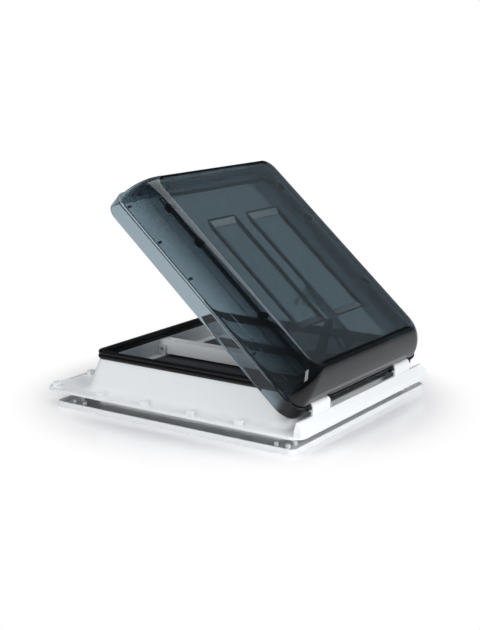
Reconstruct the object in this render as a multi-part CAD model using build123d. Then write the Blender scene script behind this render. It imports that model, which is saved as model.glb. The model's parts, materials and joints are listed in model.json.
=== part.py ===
from build123d import *
import math
import os

# Caravan roof vent: a square plastic roof frame with a rubber seal on its collar, a smoked
# double-skinned lid hinged along one side, a ceiling frame below, and a geared lift arm
# on a bar across the opening.  Millimetres, +Z up.
# The origin is the centre of the roof cut-out, at the roof's outer face.
# +X points to the hinge side.  The lid is drawn shut and then turned open.

# Roof opening and the frames
cutout = 400
flange_free_margin = 72
flange_hinge_margin = 56
flange_side_margin = 46
flange_thick = 3
flange_corner = 24
flange_lip = 2
flange_lip_width = 2.5
frame_gap = 16.5
ceiling_setback = 1
ceiling_lip = 9.5
ceiling_wall = 2.5
ceiling_corner = 12
ceiling_opening = 170

# Collar
collar_half = 193
collar_height = 58
collar_corner = 14
collar_lean = 19
collar_fillet = 18
collar_skin = 3
collar_inner = 186.5
throat_drop = 18
seal_bead = 4.6
seal_small_bead = 4.2

# Lid
rest_opening = 40.92
lid_length = 487
lid_half = 228
skirt_height = 28
lid_height = 85
rim_corner = 32
dome_wall = 3
groove_step = 3.5
crest_side = 46
crest_hinge = 37
crest_free = 24
crest_corner = 22
pane_level = 59
pane_wall = 2.5

# Hinge
hinge_x = 235
hinge_z = 36.5
hinge_inset = 0.28
rim_drop = 21.04
hinge_pin_radius = 3
hinge_barrel = 6.7
clip_centre = 150
clip_width = 58

# Lift gear
arm_x = 143
arm_z = 49
arm_length = 88
arm_rest = 74
arm_ratio = 2.6
full_opening = 55
gear_module = 1.5
sector_teeth = 24
pinion_teeth = 10
wheel_radius = 22
bar_width = 26
bar_height = 25
bar_top = 58
bar_wall = 2.2

# Fits and fine sizes
run_fit = 0.05
gap = 0.3
cut_over = 1
pilot = 2.1

rim_z = hinge_z - rim_drop
rim_hinge_x = hinge_x + hinge_inset
rim_free_x = rim_hinge_x - lid_length
ceiling_bottom = -frame_gap - ceiling_lip
flange_free = cutout / 2 + flange_free_margin
flange_hinge = cutout / 2 + flange_hinge_margin
flange_half = cutout / 2 + flange_side_margin
ceiling_half = flange_half - ceiling_setback


def block(x0, x1, y0, y1, z0, z1, radius=0):
    """An upright block between two corners, with its plan corners rounded."""
    if radius:
        plan = RectangleRounded(x1 - x0, y1 - y0, radius)
    else:
        plan = Rectangle(x1 - x0, y1 - y0)
    return Pos((x0 + x1) / 2, (y0 + y1) / 2, z0) * extrude(plan, z1 - z0)


def post(x, y, z0, z1, radius):
    """A round post along Z."""
    return Pos(x, y, (z0 + z1) / 2) * Cylinder(radius, z1 - z0)


def axle(x, z, y0, y1, radius):
    """A round bar along Y."""
    return Pos(x, (y0 + y1) / 2, z) * Rot(90, 0, 0) * Cylinder(radius, abs(y1 - y0))


def side_plate(face, y0, y1):
    """An outline drawn in X and Z, given a thickness along Y."""
    return Pos(0, y1, 0) * Rot(90, 0, 0) * extrude(face, y1 - y0)


def outline(points):
    """A face inside straight lines from point to point."""
    return make_face(Polyline(*points, close=True))


def ring(face, half, radius):
    """A section in X and Z carried round a square: straight sides and quarter turns."""
    run = half - radius
    side = side_plate(face, -run, run)
    start = Pos(0, run, 0) * Rot(90, 0, 0) * face
    turn = revolve(start, axis=Axis((run, run, 0), (0, 0, 1)), revolution_arc=90)
    quarter = side + turn
    whole = quarter
    for step in (1, 2, 3):
        whole = whole + Rot(0, 0, 90 * step) * quarter
    return whole


def four_ways(places):
    """Each (out, along) place on all four sides of the square."""
    spots = []
    for out, along in places:
        spots += [(out, along), (-out, along), (along, out), (along, -out)]
    return spots


def opened(shape):
    """Turn a piece of the shut lid to the lid's rest angle."""
    return shape.rotate(Axis((hinge_x, 0, hinge_z), (0, 1, 0)), rest_opening)


# Roof frame
lean_share = math.tan(math.radians(collar_lean))
fillet_turn = math.radians(90 - collar_lean)
fillet_rise = collar_fillet * (1 - math.cos(fillet_turn))
fillet_run = collar_fillet * math.sin(fillet_turn)
collar_base = collar_half + (collar_height - flange_thick - fillet_rise) * lean_share + fillet_run
throat_wall = 3
locate_depth = 14
locate_width = 20
locate_places = (-120, 120)
lug_length = 14
lug_width = 8
lug_height = 8
lug_cap = 2
lug_setback = 16
lug_line = flange_half - lug_setback
lug_pitch = 96
lug_middle = -12
free_lug_setback = 10
free_lug_x = flange_free - free_lug_setback
free_lug_share = (-0.9, -0.51, 0, 0.51, 0.9)
tower_radius = 4.5
tower_line = 183.5
tower_along = 73
tower_top = 20
pad_radius = 8
pad_height = 5
ledge_inner = 170
ledge_top = 30.7
ledge_thick = 2.5
clip_post_line = 181.3
clip_post_along = 110
clip_post_radius = 4.4
clip_post_drop = 4.3
rail_inner = 238.5
rail_crown = 4.5
rail_height = 24
rail_half = 235
rail_nose = 7
rail_foot = 0.6


def collar_section():
    """Collar: a straight inner wall and a leaning outer skin that sweeps out to the flange."""
    centre_z = flange_thick + collar_fillet

    def on_arc(radius, angle):
        return collar_base - radius * math.sin(angle), centre_z - radius * math.cos(angle)

    outer, inner = collar_fillet, collar_fillet + flange_thick
    waist, bend = on_arc(outer, fillet_turn), on_arc(outer, fillet_turn / 2)
    inner_waist, inner_bend = on_arc(inner, fillet_turn), on_arc(inner, fillet_turn / 2)
    throat_outer = collar_inner + throat_wall
    apex_z = collar_height - collar_skin
    apex_x = max(inner_waist[0] - (apex_z - inner_waist[1]) * lean_share, throat_outer + run_fit)
    edge = Polyline(
        inner_waist,
        (apex_x, apex_z),
        (throat_outer, apex_z),
        (throat_outer, -throat_drop),
        (collar_inner, -throat_drop),
        (collar_inner, collar_height),
        (collar_half, collar_height),
        waist,
    )
    edge += ThreePointArc(waist, bend, on_arc(outer, 0))
    edge += Polyline(
        on_arc(outer, 0), (collar_base + cut_over, flange_thick), (collar_base + cut_over, 0), on_arc(inner, 0)
    )
    return make_face(edge + ThreePointArc(on_arc(inner, 0), inner_bend, inner_waist))


def lug_places():
    """The lugs that stand along the two sides and the free edge of the flange."""
    spots = []
    for side in (-lug_line, lug_line):
        for step in (-1.5, -0.5, 0.5, 1.5):
            spots.append((lug_middle + step * lug_pitch, side, 0))
    for share in free_lug_share:
        spots.append((-free_lug_x, share * flange_half, 90))
    return spots


def make_roof_frame():
    flange = block(-flange_free, flange_hinge, -flange_half, flange_half, 0, flange_thick, flange_corner)
    inner = flange_lip_width
    lip = block(
        -flange_free, flange_hinge, -flange_half, flange_half, 0, flange_thick + flange_lip, flange_corner
    ) - block(
        -flange_free + inner, flange_hinge + flange_corner, -flange_half + inner, flange_half - inner,
        -cut_over, flange_thick + flange_lip + cut_over, flange_corner - inner,
    )
    hole_corner = collar_corner + collar_base - collar_half
    flange -= block(
        -collar_base, collar_base, -collar_base, collar_base, -cut_over, flange_thick + cut_over, hole_corner
    )
    frame = flange + lip + ring(collar_section(), collar_half, collar_corner)
    frame += block(
        -collar_inner, collar_inner, -collar_inner, collar_inner, ledge_top - ledge_thick, ledge_top,
        collar_corner - collar_half + collar_inner,
    ) - block(
        -ledge_inner, ledge_inner, -ledge_inner, ledge_inner, 0, ledge_top + cut_over, collar_corner
    )
    for x, y in four_ways([(tower_line, -tower_along), (tower_line, tower_along)]):
        frame += post(x, y, ceiling_bottom + pad_height, tower_top, tower_radius)
        frame -= post(x, y, ceiling_bottom, 0, pilot)
    throat_outer = collar_inner + throat_wall
    for along in locate_places:
        for turn in (0, 90, 180, 270):
            rib = block(
                throat_outer - run_fit, cutout / 2 - 2 * cut_over, along - locate_width / 2,
                along + locate_width / 2, -locate_depth, 0,
            )
            frame += Rot(0, 0, turn) * rib
    for x, y in clip_places():
        top = ledge_top - ledge_thick
        frame += post(x, y, top - clip_post_drop, top + cut_over, clip_post_radius)
        frame -= post(x, y, 0, top, clip_screw_radius + run_fit)
    for x, y, turn in lug_places():
        lug = block(
            -lug_length / 2, lug_length / 2, -lug_width / 2, lug_width / 2, flange_thick,
            flange_thick + lug_height, lug_edge,
        )
        frame += Pos(x, y, 0) * Rot(0, 0, turn) * lug
        frame -= post(x, y, -cut_over, flange_thick + lug_height - lug_cap, pilot)
    return frame


clip_screw_radius = 1.5
lug_edge = 1


def clip_places():
    """The four turn clips: two on the free side and two on the hinge side."""
    return [(side * clip_post_line, along) for side in (-1, 1) for along in (-clip_post_along, clip_post_along)]


def make_hinge_rail():
    """A raised rail along the hinge side: flat inside, sloping outside, blunt at the ends."""
    foot = flange_hinge - rail_foot
    face = outline([
        (rail_inner, flange_thick),
        (rail_inner, rail_height),
        (rail_inner + rail_crown, rail_height),
        (foot, flange_thick + rail_crown),
        (foot, flange_thick),
    ])
    rail = side_plate(face, -rail_half, rail_half)
    rail &= block(-flange_free, foot, -flange_half, flange_half, flange_thick, rail_height, flange_corner)
    for side in (-1, 1):
        nose = Plane.YZ * outline([
            (side * (rail_half - rail_nose), rail_height),
            (side * (rail_half + cut_over), rail_height + cut_over),
            (side * (rail_half + cut_over), flange_thick + rail_crown),
        ])
        rail -= Pos(rail_inner - cut_over, 0, 0) * extrude(nose, flange_hinge - rail_inner + 2 * cut_over)
    return rail


def make_gasket():
    """A foam strip under the flange."""
    outer = gasket_outer
    return block(-outer, outer, -outer, outer, -gasket_thick, 0, flange_corner) - block(
        -gasket_inner, gasket_inner, -gasket_inner, gasket_inner, -gasket_thick - cut_over, cut_over,
        collar_corner,
    )


gasket_outer = 226
gasket_inner = cutout / 2 + 3
gasket_thick = 6


def make_seal():
    """A rubber strip on the collar: a flat foot and two beads, one on the other."""
    middle = (collar_inner + collar_half) / 2 + seal_lean
    low = collar_height + seal_bead
    high = rim_z + pane_level - gap - seal_small_bead
    face = Pos(middle, low) * Circle(seal_bead)
    face += Pos(middle, high) * Circle(seal_small_bead)
    face += Pos(middle - seal_lean, collar_height + seal_foot / 2) * Rectangle(collar_half - collar_inner, seal_foot)
    face += Pos(middle, (low + high) / 2) * Rectangle(seal_bead, high - low)
    return ring(face, collar_half, collar_corner)


seal_lean = 1.6
seal_foot = 1.9


# Ceiling frame
liner_inner = 191.5
liner_wall = 2.5
liner_step = 1
rib_pitch = 87
rib_length = 12
rib_height = 6
rib_width = 1.8
boss_radius = 4.2
boss_height = 7.5
boss_offset_share = ((0.9, 0.9), (0.81, 0.9), (0.9, 0.81))
cap_radius = 4.8
cap_thick = 1
head_radius = 4
head_thick = 2


def make_ceiling_frame():
    half = ceiling_half
    low = ceiling_bottom
    floor = low + ceiling_wall
    frame = block(-half, half, -half, half, low, -frame_gap, ceiling_corner)
    inside = half - ceiling_wall
    frame -= block(-inside, inside, -inside, inside, floor, 0, ceiling_corner - ceiling_wall)
    outer = liner_inner + liner_wall
    liner = block(-outer, outer, -outer, outer, low, -locate_depth - liner_step, collar_corner)
    frame += liner - block(
        -liner_inner, liner_inner, -liner_inner, liner_inner, floor, 0, collar_corner - liner_wall
    )
    for side in (0, 90, 180, 270):
        for step in (-2, -1, 0, 1, 2):
            gusset = outline([(-inside, floor), (-inside, floor + rib_height), (-inside + rib_length, floor)])
            rib = side_plate(gusset, step * rib_pitch - rib_width / 2, step * rib_pitch + rib_width / 2)
            frame += Rot(0, 0, side) * rib
        for x_share, y_share in boss_offset_share:
            boss = post(x_share * half, y_share * half, floor, floor + boss_height, boss_radius)
            boss -= post(x_share * half, y_share * half, floor, floor + boss_height + cut_over, pilot)
            frame += Rot(0, 0, side) * boss
    for x, y in four_ways([(tower_line, -tower_along), (tower_line, tower_along)]):
        frame += post(x, y, low, low + pad_height, pad_radius)
    frame -= block(
        -ceiling_opening, ceiling_opening, -ceiling_opening, ceiling_opening, low - cut_over, 0, collar_corner
    )
    for x, y in four_ways([(tower_line, -tower_along), (tower_line, tower_along)]):
        frame -= post(x, y, low - cut_over, low + pad_height + cut_over, pilot)
        frame -= post(x, y, low - cut_over, low + cap_thick + head_thick, cap_radius + run_fit)
    return frame


def make_clamp_screws():
    """Screws that draw the ceiling frame up to the towers of the roof frame."""
    low = ceiling_bottom + cap_thick
    screws = []
    for x, y in four_ways([(tower_line, -tower_along), (tower_line, tower_along)]):
        head = post(x, y, low, low + head_thick, head_radius)
        screws.append(head + post(x, y, low + head_thick, -cut_over, pilot - run_fit))
    return screws


def make_screw_caps():
    caps = []
    for x, y in four_ways([(tower_line, -tower_along), (tower_line, tower_along)]):
        caps.append(post(x, y, ceiling_bottom, ceiling_bottom + cap_thick, cap_radius))
    return caps


# Insect screen
screen_half = 176.5
screen_thick = 3.8
screen_bar = 12
screen_corner = 10
notch_free = 112
notch_hinge = 171
notch_low = -30
notch_high = 17
notch_bar = 6
net_thick = 0.8
net_pitch = 20
net_strand = 2.4
finger_length = 16
finger_half = 3.6
clip_disc = 4.8
clip_thick = 3
screw_head_radius = 3
screw_head_thick = 1.6


def screen_plan(half, z0, z1):
    return block(-half, half, -half, half, z0, z1, screen_corner)


def make_screen_frame():
    """A flat frame with a window for the gear housing, grooved for the net."""
    top = ledge_top - ledge_thick
    low = top - screen_thick
    inside = screen_half - screen_bar
    frame = screen_plan(screen_half, low, top)
    frame -= screen_plan(inside, low - cut_over, top + cut_over)
    frame += block(
        notch_free - notch_bar, screen_half - notch_bar, notch_low - notch_bar, notch_high + notch_bar, low, top
    )
    frame -= block(notch_free, notch_hinge, notch_low, notch_high, low - cut_over, top + cut_over)
    seat = top - net_thick
    frame -= screen_plan(inside + notch_bar, seat, top + cut_over)
    return frame


def make_net():
    """The net as one plate with square gaps, cut away at the window."""
    top = ledge_top - ledge_thick
    half = screen_half - screen_bar + notch_bar - gap
    gap_size = net_pitch - net_strand
    count = int(2 * (screen_half - screen_bar) / net_pitch)
    face = RectangleRounded(2 * half, 2 * half, screen_corner - gap)
    places = [(step - (count - 1) / 2) * net_pitch for step in range(count)]
    border = notch_bar
    face -= Pos((notch_free + notch_hinge) / 2, (notch_low + notch_high) / 2) * Rectangle(
        notch_hinge - notch_free, notch_high - notch_low
    )
    holes = []
    for x in places:
        for y in places:
            near_x = notch_free - border - net_pitch / 2 < x
            near_y = notch_low - border - net_pitch / 2 < y < notch_high + border + net_pitch / 2
            if near_x and near_y:
                continue
            holes.append(Pos(x, y) * Rectangle(gap_size, gap_size))
    face = face - holes
    return Pos(0, 0, top - net_thick) * extrude(face, net_thick)


def make_screen_clip(x, y):
    """A turn clip: a disc on its screw and a finger under the screen frame."""
    top = ledge_top - ledge_thick - clip_post_drop - gap
    inward = -math.copysign(finger_length, x)
    clip = post(x, y, top - clip_thick, top, clip_disc)
    clip += block(
        min(x, x + inward), max(x, x + inward), y - finger_half, y + finger_half, top - clip_thick, top
    )
    return clip - post(x, y, top - clip_thick - cut_over, top + cut_over, clip_screw_radius + run_fit)


def make_clip_screws():
    top = ledge_top - ledge_thick - clip_post_drop - gap
    screws = []
    for x, y in clip_places():
        low = top - clip_thick - gap
        screw = post(x, y, low - screw_head_thick, low, screw_head_radius)
        screws.append(screw + post(x, y, low, ledge_top - ledge_thick - gap, clip_screw_radius))
    return screws


# Bar across the opening, with the lift gear
bar_bottom = bar_top - bar_height
bar_half = collar_inner - gap
saddle_length = 15
saddle_wall = 2.4
saddle_height = 17
slot_free = 38
slot_hinge = 184
slot_half = 9.2
well_free = 126
well_hinge = 160
well_half = bar_width / 2 - bar_wall
notch_places = (-170, -80)
notch_width = 5
notch_depth = 2
housing_wall = 2.4
housing_free = 117
housing_hinge = 163
housing_drop = 25
shaft_radius = 3
bush_radius = 5.4
bush_reach = 2
cross_screw_radius = 1.6


def pinion_z():
    return arm_z - gear_module * (sector_teeth + pinion_teeth) / 2


def saddle_screw_places():
    z = bar_bottom + saddle_height / 2
    x = bar_half - saddle_length / 2
    return [(x * end, side, z) for end in (-1, 1) for side in (-1, 1)]


def make_crossbar():
    """A hollow bar from wall to wall, open above the arm and below at the gear."""
    half = bar_width / 2
    bar = block(-bar_half, bar_half, -half, half, bar_bottom, bar_top)
    bar -= block(
        -bar_half - cut_over, bar_half + cut_over, -well_half, well_half, bar_bottom + bar_wall,
        bar_top - bar_wall,
    )
    bar -= block(slot_free, slot_hinge, -slot_half, slot_half, bar_top - 2 * bar_wall, bar_top + cut_over)
    bar -= block(well_free, well_hinge, -slot_half, slot_half, bar_bottom - cut_over, bar_bottom + 2 * bar_wall)
    for x in notch_places:
        bar -= block(
            x - notch_width / 2, x + notch_width / 2, -half / 2, half / 2, bar_top - notch_depth, bar_top + cut_over
        )
    bar -= axle(arm_x, arm_z, -bar_width, bar_width, shaft_radius + run_fit)
    for x, side, z in saddle_screw_places():
        bar -= axle(x, z, 0, side * bar_width, cross_screw_radius + run_fit)
    return bar


def make_saddle(end):
    """A saddle on the ledge that holds one end of the bar."""
    half = bar_width / 2 + run_fit
    outer = half + saddle_wall
    x0, x1 = sorted((end * bar_half, end * (bar_half - saddle_length)))
    saddle = block(x0, x1, -outer, outer, ledge_top, bar_bottom + saddle_height)
    saddle -= block(x0 - cut_over, x1 + cut_over, -half, half, bar_bottom, bar_top)
    for x, side, z in saddle_screw_places():
        saddle -= axle(x, z, 0, side * bar_width, cross_screw_radius + run_fit)
    return saddle


def make_crossbar_screws():
    screws = []
    face = bar_width / 2 + run_fit + saddle_wall
    for x, side, z in saddle_screw_places():
        y0, y1 = sorted((side * face, side * (face + screw_head_thick)))
        screw = axle(x, z, y0, y1, screw_head_radius)
        y0, y1 = sorted((side * (well_half - bar_wall), side * face))
        screws.append(screw + axle(x, z, y0, y1, cross_screw_radius))
    return screws


def housing_screw_places():
    x0 = housing_free - screw_head_radius
    x1 = housing_hinge + screw_head_radius
    return [(x0, 0), (x1, 0)]


def make_housing():
    """A tray under the bar that carries the pinion shaft in two bushes."""
    half = bar_width / 2
    low = bar_bottom - housing_drop
    tray = block(housing_free, housing_hinge, -half, half, low, bar_bottom)
    tray -= block(
        housing_free + housing_wall, housing_hinge - housing_wall, -half + housing_wall, half - housing_wall,
        low + housing_wall, bar_bottom + cut_over,
    )
    for x, y in housing_screw_places():
        tray += block(
            x - screw_head_radius, x + screw_head_radius, -half / 2, half / 2, bar_bottom - housing_wall, bar_bottom
        )
        tray -= post(x, y, low, bar_bottom + cut_over, cross_screw_radius + run_fit)
    for side in (-1, 1):
        y0, y1 = sorted((side * (half - housing_wall), side * (half + bush_reach)))
        tray += axle(arm_x, pinion_z(), y0, y1, bush_radius)
    return tray - axle(arm_x, pinion_z(), -bar_width, bar_width, shaft_radius + run_fit)


def make_housing_screws():
    screws = []
    for x, y in housing_screw_places():
        low = bar_bottom - housing_wall
        screw = post(x, y, low - screw_head_thick, low, screw_head_radius)
        screws.append(screw + post(x, y, low, bar_bottom + bar_wall, cross_screw_radius))
    return screws


def drill_bar_for_housing(bar):
    for x, y in housing_screw_places():
        bar -= post(x, y, bar_bottom - cut_over, bar_bottom + bar_wall + cut_over, cross_screw_radius + run_fit)
    return bar


def make_arm_pins():
    """Two headed steel pins that the arm turns on, one through each side of the bar."""
    half = bar_width / 2
    pins = []
    for side in (-1, 1):
        pin = axle(arm_x, arm_z, side * cheek_inner, side * half, shaft_radius)
        pins.append(pin + axle(arm_x, arm_z, side * half, side * (half + pin_head), shaft_radius + pin_head))
    return pins


pin_head = 1.4
cheek_inner = 2.6
cheek_outer = 5.2
hub_radius = 9
tip_radius = 6
web_start = 16
web_end = 60
web_low = 4
web_high = 7.5
sector_outer = 7.4
roller_radius = 3.6
roller_half = 1.9
tip_pin_radius = 2.2
tooth_half = 0.95
tooth_tip_share = 0.45
tooth_root_share = 1.35
addendum_share = 0.95
dedendum_share = 1.3
sector_first = 80
sector_last = 238


def toothed_disc(teeth, first, last, turn):
    """A gear outline in X and Z: a root disc with tapered teeth between two angles.
    A gap, or with turn a tooth, is centred on the angle zero of the outline."""
    pitch = gear_module * teeth / 2
    tip = pitch + addendum_share * gear_module
    root = pitch - dedendum_share * gear_module
    face = Circle(root)
    tooth = outline([
        (root - gear_module, -tooth_half * tooth_root_share),
        (pitch, -tooth_half),
        (tip, -tooth_half * tooth_tip_share),
        (tip, tooth_half * tooth_tip_share),
        (pitch, tooth_half),
        (root - gear_module, tooth_half * tooth_root_share),
    ])
    for step in range(teeth):
        angle = (step + turn) * 360 / teeth
        if first <= angle <= last:
            face += Rot(0, 0, angle) * tooth
    return face


def on_arm(shape):
    """Place a piece drawn along +X from the pivot at the arm's rest angle."""
    return Pos(arm_x, 0, arm_z) * Rot(0, -arm_rest, 0) * shape


def make_arm():
    """Two cheeks joined by a web, from the pivot eye to the fork that holds the roller."""
    cheek = outline([
        (0, -hub_radius), (arm_length, -tip_radius), (arm_length, tip_radius), (0, hub_radius)
    ])
    cheek += Circle(hub_radius)
    cheek += Pos(arm_length, 0) * Circle(tip_radius)
    arm = side_plate(cheek, cheek_inner, cheek_outer) + side_plate(cheek, -cheek_outer, -cheek_inner)
    arm += block(web_start, web_end, -cheek_inner, cheek_inner, web_low, web_high)
    arm -= axle(0, 0, -bar_width, bar_width, shaft_radius + run_fit)
    arm -= axle(arm_length, 0, -bar_width, bar_width, tip_pin_radius + run_fit)
    return on_arm(arm)


def make_sector():
    """The toothed part of the arm, against the outside of one cheek."""
    teeth = toothed_disc(sector_teeth, sector_first, sector_last, sector_phase())
    sector = side_plate(teeth, cheek_outer, sector_outer)
    sector -= axle(0, 0, -bar_width, bar_width, shaft_radius + run_fit)
    return on_arm(sector)


def sector_phase():
    """The share of a tooth that sets a gap of the sector over the pinion at rest."""
    step = 360 / sector_teeth
    toward_pinion = (-90 - arm_rest) % 360
    return (toward_pinion / step + 0.5) % 1


def make_roller():
    roller = axle(0, 0, -roller_half, roller_half, roller_radius)
    roller -= axle(0, 0, -bar_width, bar_width, tip_pin_radius + run_fit)
    return on_arm(Pos(arm_length, 0, 0) * roller)


def make_roller_pin():
    pin = axle(0, 0, -cheek_outer, cheek_outer, tip_pin_radius)
    pin += axle(0, 0, cheek_outer, cheek_outer + pin_head, tip_pin_radius + pin_head)
    pin += axle(0, 0, -cheek_outer - pin_head, -cheek_outer, tip_pin_radius + pin_head)
    return on_arm(Pos(arm_length, 0, 0) * pin)


gear_low = 4.6
wheel_inner = 17
wheel_width = 8
wheel_hub = 7
wheel_grips = 18
grip_radius = 1.6
spoke_half = 2.4


def make_pinion_shaft():
    """Pinion and shaft in one, with a flat for the wheel."""
    half = bar_width / 2
    z = pinion_z()
    teeth = toothed_disc(pinion_teeth, 0, 360, 0)
    gear = side_plate(Rot(0, 0, 90) * teeth, gear_low, sector_outer + gap)
    gear = Pos(arm_x, 0, z) * gear
    return gear + axle(arm_x, z, wheel_face() - wheel_width, half + bush_reach + cut_over, shaft_radius)


def wheel_face():
    """The side of the winding wheel that faces the housing."""
    return -bar_width / 2 - bush_reach - gap


def make_wheel():
    """The hand wheel: a ribbed rim, three spokes and a hub."""
    z = pinion_z()
    y1 = wheel_face()
    y0 = y1 - wheel_width
    wheel = axle(0, 0, y0, y1, wheel_radius) - axle(0, 0, y0 - cut_over, y1 + cut_over, wheel_inner)
    wheel += axle(0, 0, y0, y1, wheel_hub)
    for step in range(3):
        spoke = block(0, wheel_inner + gap, y0, y1 - housing_wall, -spoke_half, spoke_half)
        wheel += Rot(0, step * 120, 0) * spoke
    for step in range(wheel_grips):
        angle = 2 * math.pi * step / wheel_grips
        wheel -= axle(
            wheel_radius * math.cos(angle), wheel_radius * math.sin(angle), y0 - cut_over, y1 + cut_over, grip_radius
        )
    wheel -= axle(0, 0, y0 - cut_over, y1 + cut_over, shaft_radius + run_fit)
    return Pos(arm_x, 0, z) * wheel


def make_wheel_screw():
    """A screw with a wide head that holds the wheel on its shaft."""
    y0 = wheel_face() - wheel_width
    return axle(arm_x, pinion_z(), y0 - head_thick, y0, wheel_hub - cut_over)


# Hinge clips, pins and the lid's knuckles
knuckle_width = 9
knuckle_radius = 4.6
knuckle_gap = 0.5
knuckle_end = 1.5
clip_rib = 0.6
clip_rib_count = 5
notch_clear = 0.6


def make_hinge_clip(side):
    """A white block on the rail that wraps the pin, with fine ribs along its outer face."""
    y0, y1 = sorted((side * (clip_centre - clip_width / 2), side * (clip_centre + clip_width / 2)))
    face = Pos(hinge_x, hinge_z) * Circle(hinge_barrel)
    outer = hinge_x + hinge_barrel
    face += outline([(rail_inner, rail_height), (rail_inner, hinge_z), (outer, hinge_z), (outer, rail_height)])
    face -= Pos(hinge_x, hinge_z) * Circle(hinge_pin_radius + run_fit)
    pitch = (hinge_z - rail_height) / (clip_rib_count + 1)
    for step in range(clip_rib_count):
        face -= Pos(outer, rail_height + (step + 1) * pitch) * Rectangle(clip_rib, clip_rib)
    return side_plate(face, y0, y1)


def clip_span(side):
    """The stretch of the skirt's notch at a clip."""
    reach = clip_width / 2 + knuckle_gap
    return tuple(sorted((side * (clip_centre - reach), side * (clip_centre + reach))))


def make_hinge_pin(side):
    y0, y1 = clip_span(side)
    reach = knuckle_width - knuckle_end - run_fit
    return axle(hinge_x, hinge_z, y0 - reach, y1 + reach, hinge_pin_radius)


def make_knuckles(side):
    """Two round bosses in the lid's skirt, each with a blind bore for one end of the pin."""
    y0, y1 = clip_span(side)
    reach = knuckle_width - knuckle_end
    bore = axle(hinge_x, hinge_z, y0 - reach, y1 + reach, hinge_pin_radius + run_fit)
    near = axle(hinge_x, hinge_z, y0 - knuckle_width, y0, knuckle_radius) - bore
    far = axle(hinge_x, hinge_z, y1, y1 + knuckle_width, knuckle_radius) - bore
    return [opened(near), opened(far)]


def skirt_notches():
    """What is cut from the skirt at the clips: the notches and the seats of the knuckles."""
    cuts = []
    for side in (-1, 1):
        y0, y1 = clip_span(side)
        reach = hinge_barrel + notch_clear
        cuts.append(axle(hinge_x, hinge_z, y0, y1, reach))
        cuts.append(block(hinge_x - reach, hinge_x + reach, y0, y1, rim_z - cut_over, hinge_z))
        cuts.append(axle(hinge_x, hinge_z, y0 - knuckle_width, y1 + knuckle_width, knuckle_radius + run_fit))
    return cuts


# Lid
crest_power = 1.5
crest_steps = 7
pane_gap = 1
panel_rise = 6
panel_side = 176
panel_hinge_inset = 47
panel_free_inset = 52
panel_corner = 22
pocket_half = 111
pocket_free_inset = 121
pocket_hinge_inset = 117
pocket_facet = 13
divider_low = -32
divider_high = 11
peg_pitch = 83
peg_radius = 2.4
peg_reach = 7
peg_level = 31
tray_low = 26
tray_middle = 45
pane_clip_length = 13
pane_clip_depth = 9
pane_clip_height = 8
pane_clip_share = (0.33, 0.67, 0.836)
rail_base_half = 8
rail_base_thick = 3
rail_plate_half = 2
slot_clear = 0.3
slot_margin = 4
curve_steps = 24


def dome_plan(level, inset):
    """The lid's plan at a level above the rim, drawn in by inset all round.
    Above the skirt each side follows a superellipse up to the flat top."""
    rise = lid_height - skirt_height
    if level <= skirt_height:
        share, step = 0, 0 if level < skirt_height else groove_step
    else:
        height_share = min((level - skirt_height) / rise, 1)
        share = 1 - (1 - height_share ** crest_power) ** (1 / crest_power)
        step = groove_step
    side = step + (crest_side - step) * share + inset
    hinge = step + (crest_hinge - step) * share + inset
    free = step + (crest_free - step) * share + inset
    corner = rim_corner + (crest_corner - rim_corner) * share - inset
    x0 = rim_free_x + free
    x1 = rim_hinge_x - hinge
    half = lid_half - side
    return x0, x1, half, corner


def plan_face(level, inset, height):
    """The plan that belongs to one level of the wall, as a face at a height above the rim."""
    x0, x1, half, corner = dome_plan(level, inset)
    return Pos((x0 + x1) / 2, 0, rim_z + height) * RectangleRounded(x1 - x0, 2 * half, corner)


def inside_plan(level, inset):
    """The plan of the space inside the dome's wall at a level, drawn in by inset."""
    return dome_plan(level + dome_wall, dome_wall + inset)


def dome_levels():
    """Levels up the wall, closer together towards the crest."""
    rise = lid_height - skirt_height
    turns = [math.pi / 2 * step / crest_steps for step in range(crest_steps + 1)]
    return [skirt_height + rise * math.sin(turn) ** (2 / crest_power) for turn in turns]


def dome_body(inset):
    """The dome as a solid: the skirt and the curved wall, drawn in by inset."""
    sections = []
    for level in dome_levels():
        sections.append(plan_face(max(level, skirt_height), inset, level - inset).face())
    upper = loft(sections, ruled=True)
    x0, x1, half, corner = dome_plan(0, inset)
    return upper + block(x0, x1, -half, half, rim_z, rim_z + skirt_height - inset, corner)


def make_dome():
    """The outer skin of the lid, open below."""
    dome = dome_body(0) - dome_body(dome_wall)
    x0, x1, half, corner = dome_plan(0, dome_wall)
    dome -= block(x0, x1, -half, half, rim_z - cut_over, rim_z + cut_over, corner)
    for cut in skirt_notches():
        dome -= cut
    return dome


def tray_body(inset, drop):
    """The space inside the dome wall from the tray's edge up to the pane, less inset and drop."""
    sections = []
    for level in (tray_low, tray_middle, pane_level + pane_wall):
        sections.append(plan_face(level + dome_wall, dome_wall + pane_gap + inset, level - drop).face())
    return loft(sections, ruled=True)


def pocket(y0, y1, z0, z1, grow):
    """A shallow pocket with sloping ends, grown by a wall for its outside."""
    x0 = rim_free_x + pocket_free_inset - grow
    x1 = rim_hinge_x - pocket_hinge_inset + grow
    upper = Pos((x0 + x1) / 2, (y0 + y1) / 2, z1) * Rectangle(x1 - x0, y1 - y0 + 2 * grow)
    lower = Pos((x0 + x1) / 2, (y0 + y1) / 2, z0) * Rectangle(
        x1 - x0 - 2 * pocket_facet, y1 - y0 + 2 * grow
    )
    return loft([lower.face(), upper.face()], ruled=True)


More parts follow.
